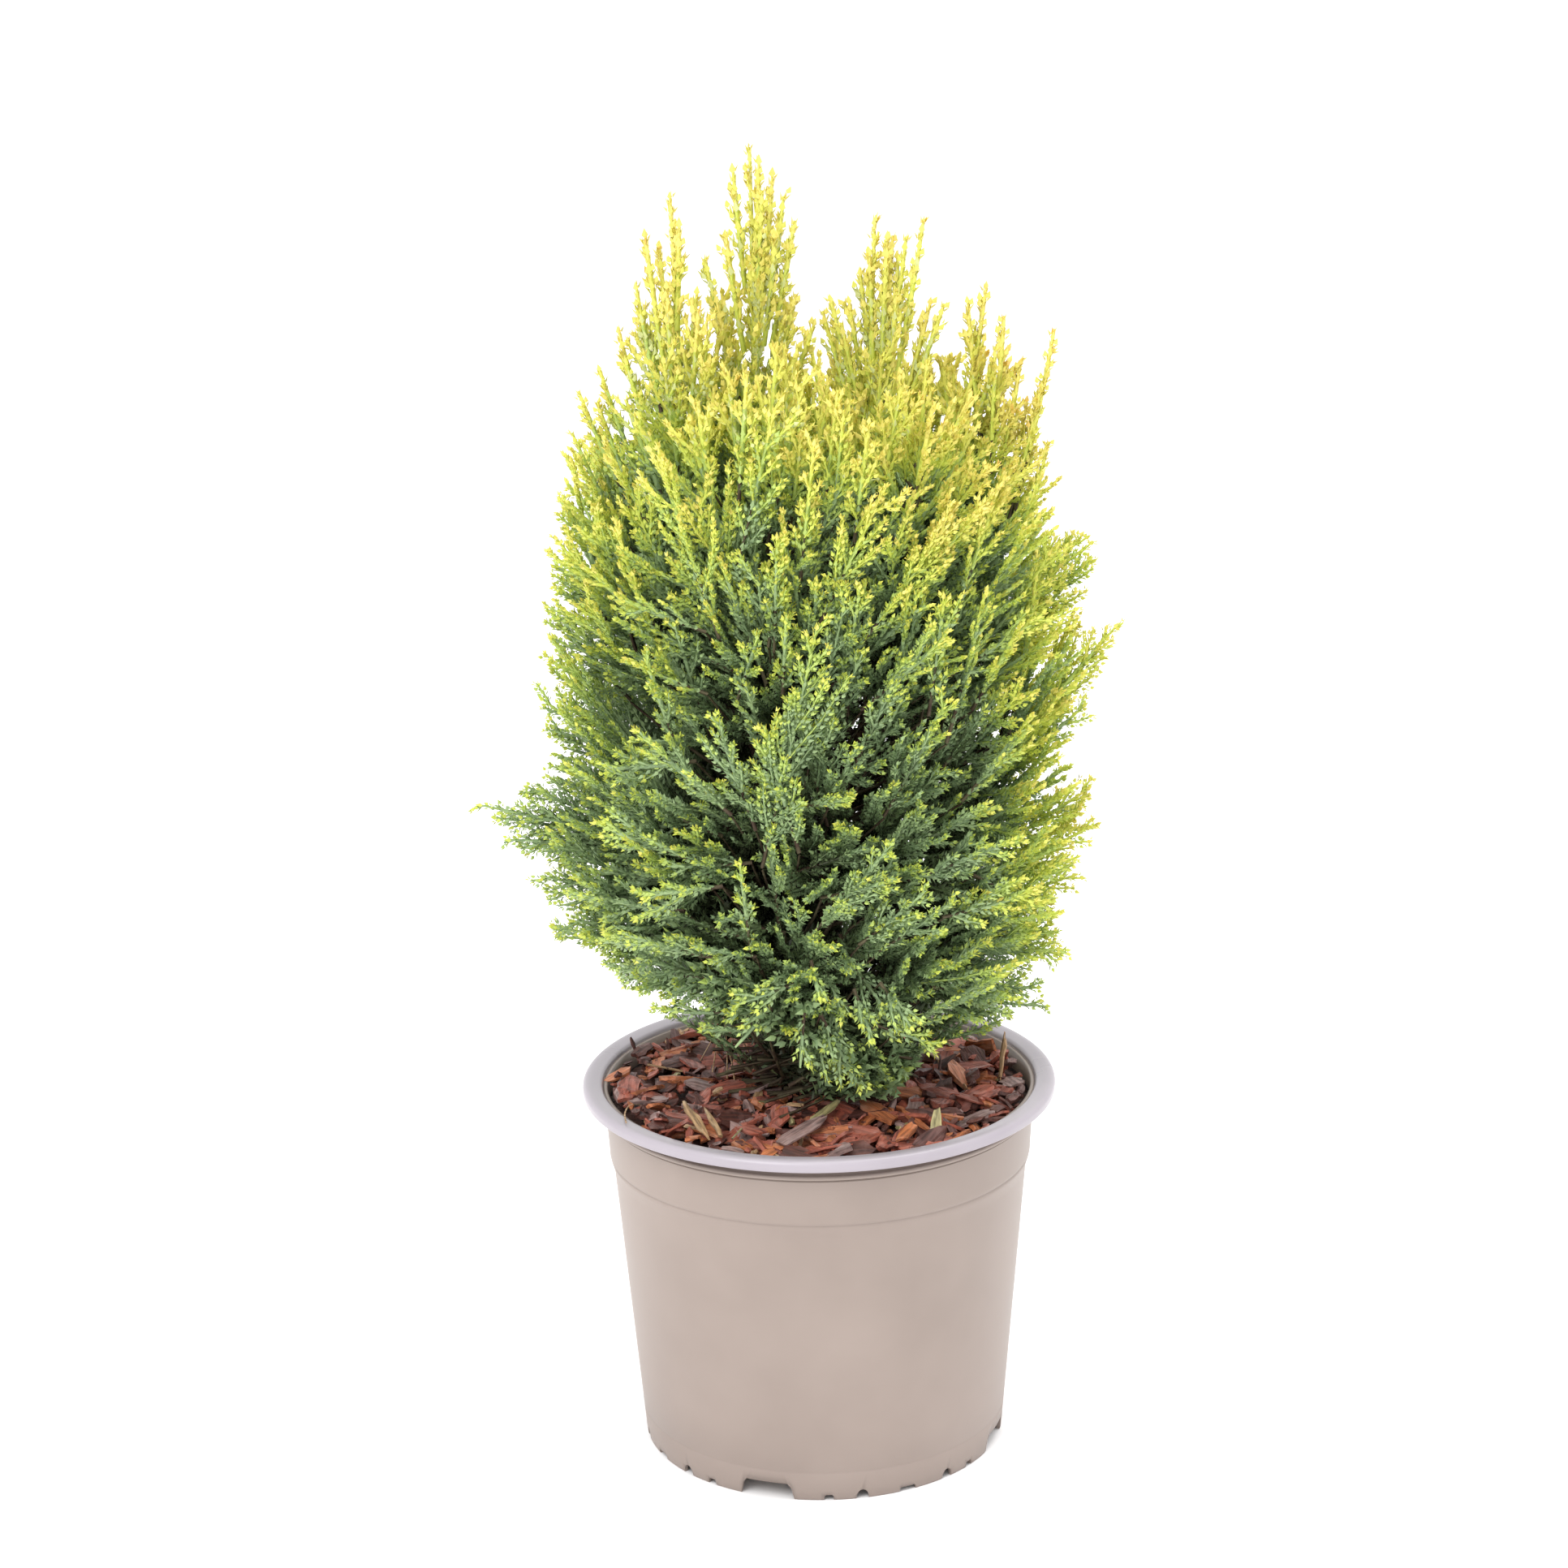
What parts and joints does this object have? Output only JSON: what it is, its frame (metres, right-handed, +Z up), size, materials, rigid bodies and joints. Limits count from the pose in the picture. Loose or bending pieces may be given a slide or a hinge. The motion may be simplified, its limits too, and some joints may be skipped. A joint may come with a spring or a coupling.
{
  "type": "potted lawson cypress",
  "caption": "Dense, upright young lawson cypress with golden tips over blue-green scale foliage, in a taupe nursery pot topped with bark mulch.",
  "frame": {"origin": "centre of the pot's flat underside", "axes": "+Z up the plant, +X to the right as seen from the front, and the front faces -Y"},
  "size_m": [0.252, 0.1965, 0.522],
  "materials": {
    "pot_plastic": "satin moulded taupe plastic with a lilac-grey rim",
    "soil": "moist dark peat",
    "mulch": "rough red-brown bark chips",
    "bark": "thin brown bark with fine ridges",
    "foliage_low": "matte scale leaves, blue-green with lime tips",
    "foliage_mid": "matte scale leaves, mid green with lime tips",
    "foliage_high": "matte scale leaves, lime green",
    "foliage_tips": "matte scale leaves, golden yellow with amber tips"
  },
  "bodies": {
    "root": {"pot": "pot_plastic", "potting_soil": "soil", "bark_mulch": "mulch", "trunk": "bark", "bough_skirt_front_left": "bark", "bough_skirt_front_right": "bark", "bough_skirt_right": "bark", "bough_skirt_back_right": "bark", "bough_skirt_back_left": "bark", "bough_lower_left": "bark", "bough_lower_front_left": "bark", "bough_lower_front_right": "bark", "bough_lower_back_right": "bark", "bough_lower_back_left": "bark", "bough_middle_front_left": "bark", "bough_middle_front_right": "bark", "bough_middle_right": "bark", "bough_middle_back_right": "bark", "bough_middle_back_left": "bark", "bough_upper_left": "bark", "bough_upper_front_left": "bark", "bough_upper_front_right": "bark", "bough_upper_back_right": "bark", "bough_upper_back_left": "bark", "bough_leader_left": "bark", "bough_leader_right": "bark", "bough_leader_far_right": "bark", "bough_leader_back": "bark", "bough_leader_back_left": "bark", "bough_leader_front": "bark", "bough_leader_front_right": "bark", "foliage_skirt_front_left": "foliage_low", "foliage_skirt_front_right": "foliage_low", "foliage_skirt_right": "foliage_low", "foliage_skirt_back_right": "foliage_low", "foliage_skirt_back_left": "foliage_low", "foliage_lower_left": "foliage_low", "foliage_lower_front_left": "foliage_low", "foliage_lower_front_right": "foliage_low", "foliage_lower_back_right": "foliage_low", "foliage_lower_back_left": "foliage_low", "foliage_middle_front_left": "foliage_mid", "foliage_middle_front_right": "foliage_mid", "foliage_middle_right": "foliage_mid", "foliage_middle_back_right": "foliage_mid", "foliage_middle_back_left": "foliage_mid", "foliage_upper_left": "foliage_high", "foliage_upper_front_left": "foliage_high", "foliage_upper_front_right": "foliage_high", "foliage_upper_back_right": "foliage_high", "foliage_upper_back_left": "foliage_high", "foliage_leader_centre": "foliage_tips", "foliage_leader_left": "foliage_tips", "foliage_leader_right": "foliage_tips", "foliage_leader_far_right": "foliage_tips", "foliage_leader_back": "foliage_tips", "foliage_leader_back_left": "foliage_tips", "foliage_leader_front": "foliage_tips", "foliage_leader_front_right": "foliage_tips"}
  },
  "joints": []
}
